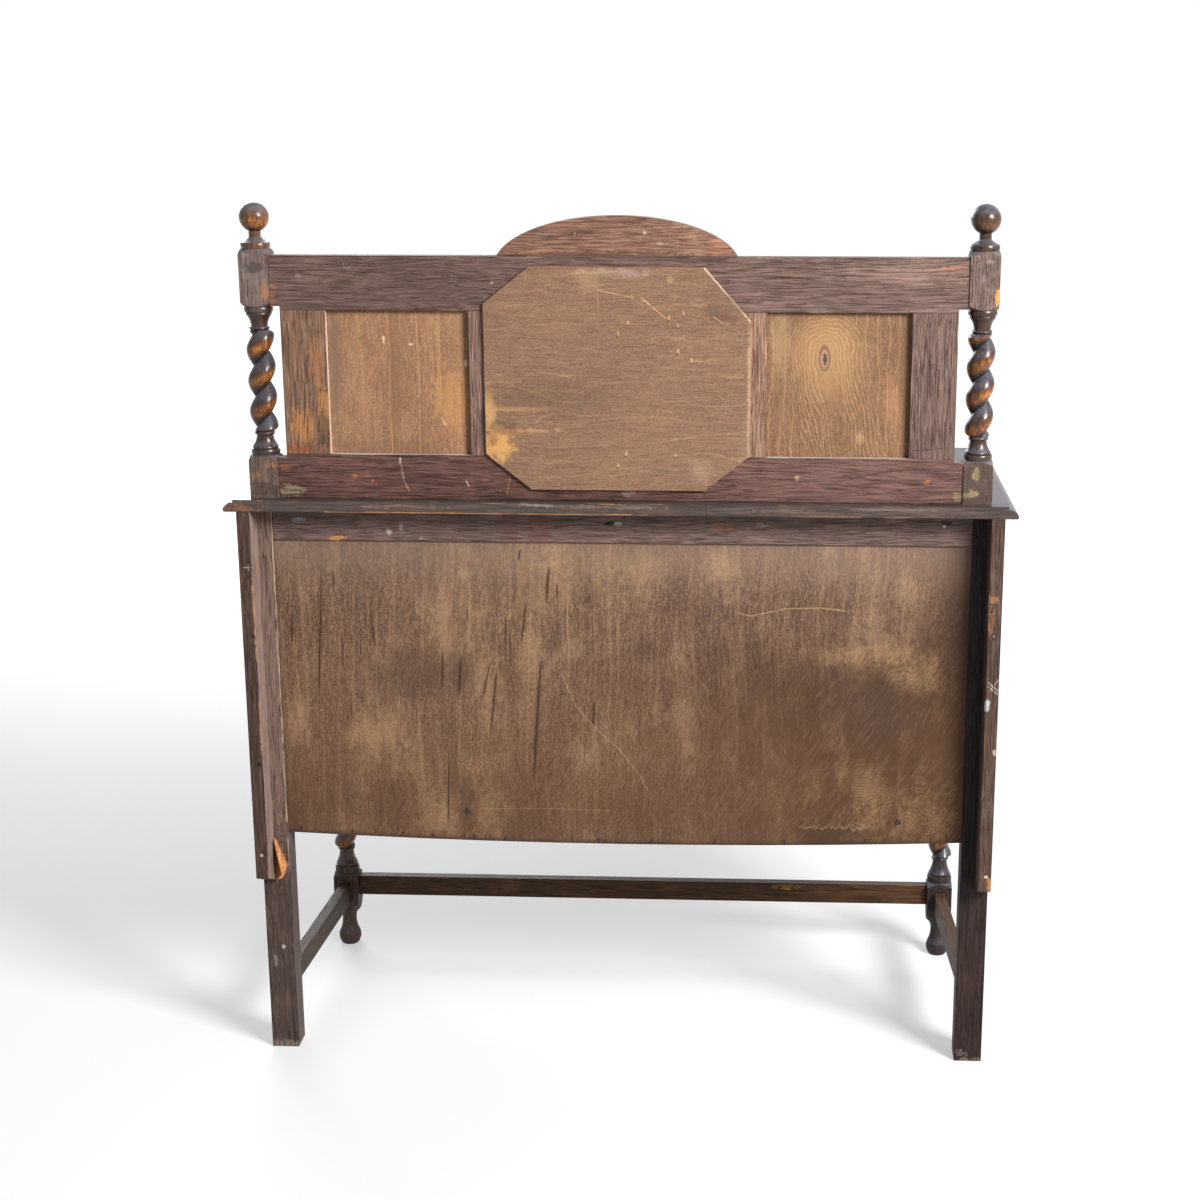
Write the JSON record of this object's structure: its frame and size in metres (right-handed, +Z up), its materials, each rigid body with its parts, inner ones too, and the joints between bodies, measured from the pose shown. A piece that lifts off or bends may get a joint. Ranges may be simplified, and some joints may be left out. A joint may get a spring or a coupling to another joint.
{
  "type": "buffet cabinet",
  "caption": "Oak buffet cabinet on twisted front legs, with cupboards, drawers and drop handles, and above its top a gallery with twisted posts, ball finials and an eight-sided mirror.",
  "frame": {"origin": "on the floor under the middle of the overall footprint", "axes": "+X to the right seen from the front, +Y from the front to the back, +Z up"},
  "size_m": [1.219, 0.53, 1.3872],
  "materials": {
    "oak": "dark stained and polished, worn",
    "turned_oak": "stained and polished, worn",
    "front_oak": "stained and polished",
    "plywood": "stained, dry and scratched",
    "deal": "bare",
    "brass": "dulled",
    "mirror": "silvered, bevelled edge"
  },
  "bodies": {
    "cabinet": {"front_leg_right": "turned_oak", "front_leg_left": "turned_oak", "rear_leg_right": "oak", "rear_leg_left": "oak", "stretcher_side_right": "oak", "stretcher_side_left": "oak", "wall_strip_right": "oak", "wall_strip_left": "oak", "side_board_right": "oak", "side_board_left": "oak", "shelf_right": "deal", "shelf_left": "deal", "finial_right": "turned_oak", "finial_left": "turned_oak", "gallery_post_right": "turned_oak", "gallery_post_left": "turned_oak", "gallery_stile_right": "oak", "gallery_stile_left": "oak", "gallery_muntin_right": "oak", "gallery_muntin_left": "oak", "gallery_panel_right": "plywood", "gallery_panel_left": "plywood", "stretcher_front": "oak", "case_floor": "deal", "back_panel": "plywood", "back_rail": "oak", "front_top_rail": "oak", "front_middle_rail": "oak", "front_bottom_rail": "oak", "partition": "oak", "drawer_runners": "deal", "shelf_cleats": "deal", "case_hinges": "brass", "top_board": "oak", "gallery_top_rail": "oak", "gallery_bottom_rail": "oak", "crest_board": "oak", "mirror_glass": "mirror", "mirror_frame": "oak", "mirror_backboard": "plywood"},
    "door_right": {"door_right": "front_oak", "door_mouldings_right": "front_oak", "door_hinges_right": "brass", "door_handle_plate_right": "brass"},
    "drawer_right": {"drawer_front_right": "front_oak", "drawer_box_right": "deal", "drawer_handle_plates_right": "brass"},
    "door_drop_right": {"door_handle_drop_right": "brass"},
    "drawer_inner_drop_right": {"drawer_inner_drop_right": "brass"},
    "drawer_outer_drop_right": {"drawer_outer_drop_right": "brass"},
    "door_left": {"door_left": "front_oak", "door_mouldings_left": "front_oak", "door_hinges_left": "brass", "door_handle_plate_left": "brass"},
    "drawer_left": {"drawer_front_left": "front_oak", "drawer_box_left": "deal", "drawer_handle_plates_left": "brass"},
    "door_drop_left": {"door_handle_drop_left": "brass"},
    "drawer_inner_drop_left": {"drawer_inner_drop_left": "brass"},
    "drawer_outer_drop_left": {"drawer_outer_drop_left": "brass"}
  },
  "joints": [
    {"name": "door_right_hinge", "type": "hinge", "parent": "cabinet", "child": "door_right", "pos_m": [0.5237, -0.2432, 0.587], "axis": [0, 0, 1], "range_deg": [0, 110]},
    {"name": "drawer_right_slide", "type": "slide", "parent": "cabinet", "child": "drawer_right", "axis": [0, -1, 0], "range_m": [0, 0.26]},
    {"name": "door_drop_right_swing", "type": "hinge", "parent": "door_right", "child": "door_drop_right", "pos_m": [0.032, -0.2505, 0.596], "axis": [-1, 0, 0], "range_deg": [0, 85]},
    {"name": "drawer_inner_drop_right_swing", "type": "hinge", "parent": "drawer_right", "child": "drawer_inner_drop_right", "pos_m": [0.1315, -0.2505, 0.8415], "axis": [-1, 0, 0], "range_deg": [0, 85]},
    {"name": "drawer_outer_drop_right_swing", "type": "hinge", "parent": "drawer_right", "child": "drawer_outer_drop_right", "pos_m": [0.403, -0.2505, 0.8415], "axis": [-1, 0, 0], "range_deg": [0, 85]},
    {"name": "door_left_hinge", "type": "hinge", "parent": "cabinet", "child": "door_left", "pos_m": [-0.5237, -0.2432, 0.587], "axis": [0, 0, -1], "range_deg": [0, 110]},
    {"name": "drawer_left_slide", "type": "slide", "parent": "cabinet", "child": "drawer_left", "axis": [0, -1, 0], "range_m": [0, 0.26]},
    {"name": "door_drop_left_swing", "type": "hinge", "parent": "door_left", "child": "door_drop_left", "pos_m": [-0.032, -0.2505, 0.596], "axis": [-1, 0, 0], "range_deg": [0, 85]},
    {"name": "drawer_inner_drop_left_swing", "type": "hinge", "parent": "drawer_left", "child": "drawer_inner_drop_left", "pos_m": [-0.1315, -0.2505, 0.8415], "axis": [-1, 0, 0], "range_deg": [0, 85]},
    {"name": "drawer_outer_drop_left_swing", "type": "hinge", "parent": "drawer_left", "child": "drawer_outer_drop_left", "pos_m": [-0.403, -0.2505, 0.8415], "axis": [-1, 0, 0], "range_deg": [0, 85]}
  ]
}
